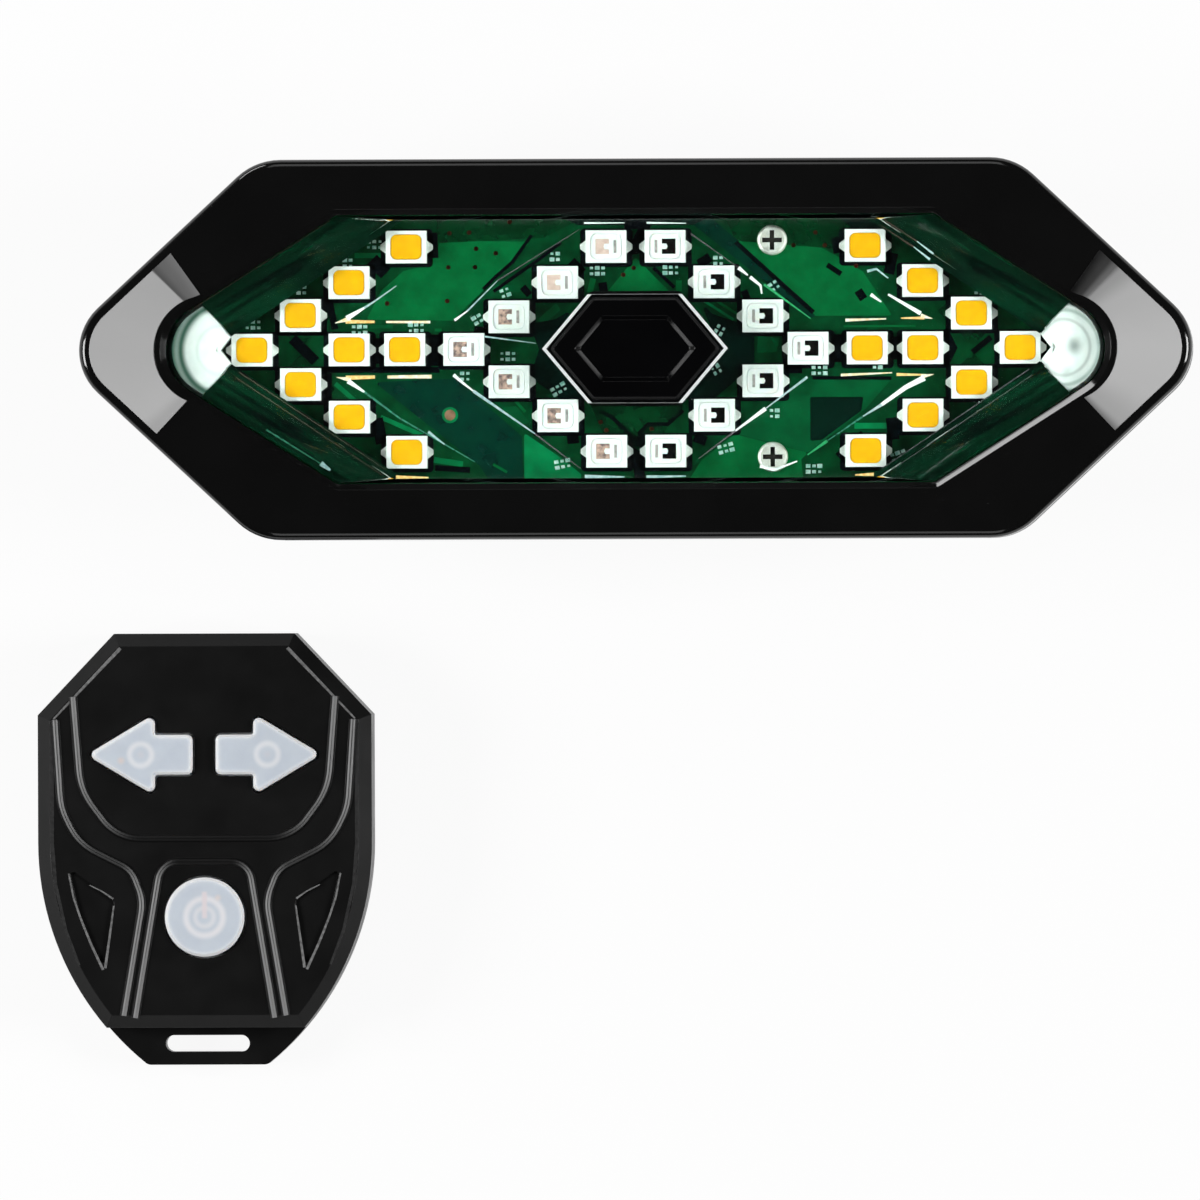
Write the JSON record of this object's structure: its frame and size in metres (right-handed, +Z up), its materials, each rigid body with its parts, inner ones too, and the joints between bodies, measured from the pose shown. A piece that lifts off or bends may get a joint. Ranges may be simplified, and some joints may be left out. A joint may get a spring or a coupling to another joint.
{
  "type": "bicycle tail light with turn signals and remote",
  "caption": "Long hexagonal rechargeable rear light with indicator arrows, central push button, twist-off seat post bracket and a small three-key handlebar remote.",
  "frame": {"origin": "on the table under the set, at the centre of the set's footprint; both pieces lie on their backs as pictured", "axes": "+Z is up, the way the lamp shines and the keys face; +X runs along the lamp to its right-hand tip; +Y is across the lamp, the top edge when it is mounted"},
  "size_m": [0.1004, 0.0784, 0.0275],
  "materials": {
    "housing_plastic": "moulded, fine texture",
    "bezel_plastic": "gloss moulded",
    "end_panel_plastic": "satin grey",
    "screw_steel": "zinc plated",
    "lens_clear": "clear polycarbonate",
    "seal_rubber": "silicone",
    "board_green": "green solder mask",
    "screw_bright": "nickel plated",
    "led_body": "white moulded",
    "amber_resin": "phosphor resin",
    "clear_resin": "clear resin",
    "tinned_copper": "tinned",
    "diffuser_white": "opal",
    "button_black": "gloss moulded",
    "switch_body": "moulded",
    "switch_plunger": "moulded",
    "cell_foil": "laminate foil",
    "foam_black": "closed cell foam",
    "lead_red": "insulation",
    "lead_black": "insulation",
    "chip_epoxy": "moulded epoxy",
    "radio_shield": "tinned shield",
    "component_brown": "ceramic",
    "socket_steel": "stainless shell",
    "cover_rubber": "soft rubber",
    "pad_rubber": "soft rubber",
    "bracket_plastic": "moulded",
    "bayonet_plastic": "moulded",
    "ring_rubber": "soft rubber",
    "remote_shell": "fine spark texture",
    "remote_board_green": "green solder mask",
    "switch_metal": "tinned",
    "indicator_red": "clear resin",
    "coin_cell_steel": "nickel plated",
    "contact_metal": "spring bronze",
    "key_silicone": "translucent silicone",
    "door_plastic": "moulded"
  },
  "bodies": {
    "bracket": {"saddle_pad": "pad_rubber", "bracket_base": "bracket_plastic", "bayonet_disc": "bayonet_plastic", "bayonet_screw": "screw_steel", "friction_ring": "ring_rubber"},
    "lamp": {"rear_housing": "housing_plastic", "front_bezel": "bezel_plastic", "end_panel_left": "end_panel_plastic", "end_panel_right": "end_panel_plastic", "case_screws": "screw_steel", "clear_lens": "lens_clear", "lens_seal": "seal_rubber", "main_board": "board_green", "board_screws": "screw_bright", "left_turn_leds": "led_body", "right_turn_leds": "led_body", "brake_leds": "led_body", "left_turn_led_resin": "amber_resin", "right_turn_led_resin": "amber_resin", "brake_led_resin": "clear_resin", "led_terminals": "tinned_copper", "tip_light_guide_left": "diffuser_white", "tip_light_guide_right": "diffuser_white", "power_switch_body": "switch_body", "battery_cell": "cell_foil", "battery_foam": "foam_black", "battery_lead_red": "lead_red", "battery_lead_black": "lead_black", "control_chip": "chip_epoxy", "radio_module": "radio_shield", "board_components": "component_brown", "charging_socket": "socket_steel"},
    "lamp_button": {"power_button": "button_black", "power_switch_plunger": "switch_plunger"},
    "port_cover": {"charging_port_cover": "cover_rubber"},
    "remote": {"remote_bottom_shell": "remote_shell", "remote_top_shell": "remote_shell", "remote_gasket": "seal_rubber", "remote_screws": "screw_steel", "remote_board": "remote_board_green", "remote_switch_bodies": "switch_metal", "remote_board_parts": "chip_epoxy", "remote_indicator_light": "indicator_red", "coin_cell": "coin_cell_steel", "cell_contact_side": "contact_metal", "cell_contact_top": "contact_metal"},
    "left_key": {"left_arrow_key": "key_silicone", "left_key_plunger": "switch_plunger"},
    "right_key": {"right_arrow_key": "key_silicone", "right_key_plunger": "switch_plunger"},
    "remote_power_key": {"power_key": "key_silicone", "power_key_plunger": "switch_plunger"},
    "cell_door": {"cell_door": "door_plastic", "cell_door_seal": "seal_rubber"}
  },
  "joints": [
    {"name": "lamp_twist", "type": "hinge", "parent": "bracket", "child": "lamp", "pos_m": [0.00222, 0.02278, 0.0113], "axis": [0, 0, -1], "range_deg": [0, 90]},
    {"name": "lamp_button_press", "type": "slide", "parent": "lamp", "child": "lamp_button", "axis": [0, 0, -1], "range_m": [0, 0.00035], "stiffness_N_per_m": 1500, "springref_m": -0.0003},
    {"name": "port_cover_hinge", "type": "hinge", "parent": "lamp", "child": "port_cover", "pos_m": [0.02045, 0.00688, 0.0179], "axis": [0, 0, -1], "range_deg": [0, 100]},
    {"name": "remote_lift", "type": "slide", "parent": "bracket", "child": "remote", "axis": [0, 0, 1], "range_m": [0, 0.08]},
    {"name": "left_key_press", "type": "slide", "parent": "remote", "child": "left_key", "axis": [0, 0, -1], "range_m": [0, 0.00035], "stiffness_N_per_m": 1500, "springref_m": -0.0003},
    {"name": "right_key_press", "type": "slide", "parent": "remote", "child": "right_key", "axis": [0, 0, -1], "range_m": [0, 0.00035], "stiffness_N_per_m": 1500, "springref_m": -0.0003},
    {"name": "remote_power_press", "type": "slide", "parent": "remote", "child": "remote_power_key", "axis": [0, 0, -1], "range_m": [0, 0.00035], "stiffness_N_per_m": 1500, "springref_m": -0.0003},
    {"name": "cell_door_twist", "type": "hinge", "parent": "remote", "child": "cell_door", "pos_m": [-0.03572, -0.02042, 0.0001], "axis": [0, 0, -1], "range_deg": [0, 60]}
  ]
}
